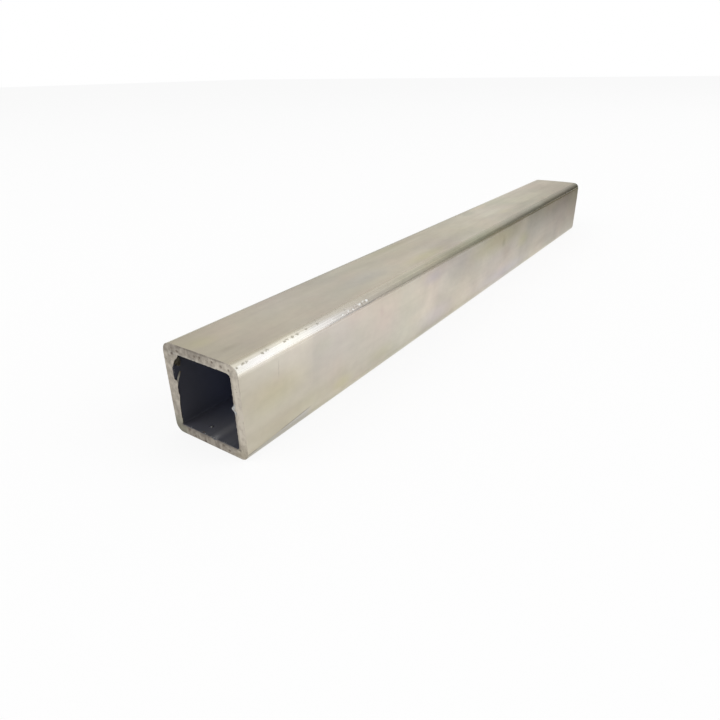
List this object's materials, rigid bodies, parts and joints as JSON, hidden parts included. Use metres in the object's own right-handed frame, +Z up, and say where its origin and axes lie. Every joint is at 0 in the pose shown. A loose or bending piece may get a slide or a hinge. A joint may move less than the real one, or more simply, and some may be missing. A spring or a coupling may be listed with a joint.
{
  "type": "square metal tube",
  "caption": "Straight length of square hollow metal section with an even wall, rounded outside edges, near-sharp inside corners and sawn ends.",
  "frame": {"origin": "middle of the face the tube lies on", "axes": "+X along the tube's length, +Y across its width, +Z up from the face it lies on"},
  "size_m": [0.3, 0.03, 0.03],
  "materials": {
    "satin_steel": "satin mill finish outside, dark scale inside"
  },
  "bodies": {
    "root": {"square_tube": "satin_steel"}
  },
  "joints": []
}
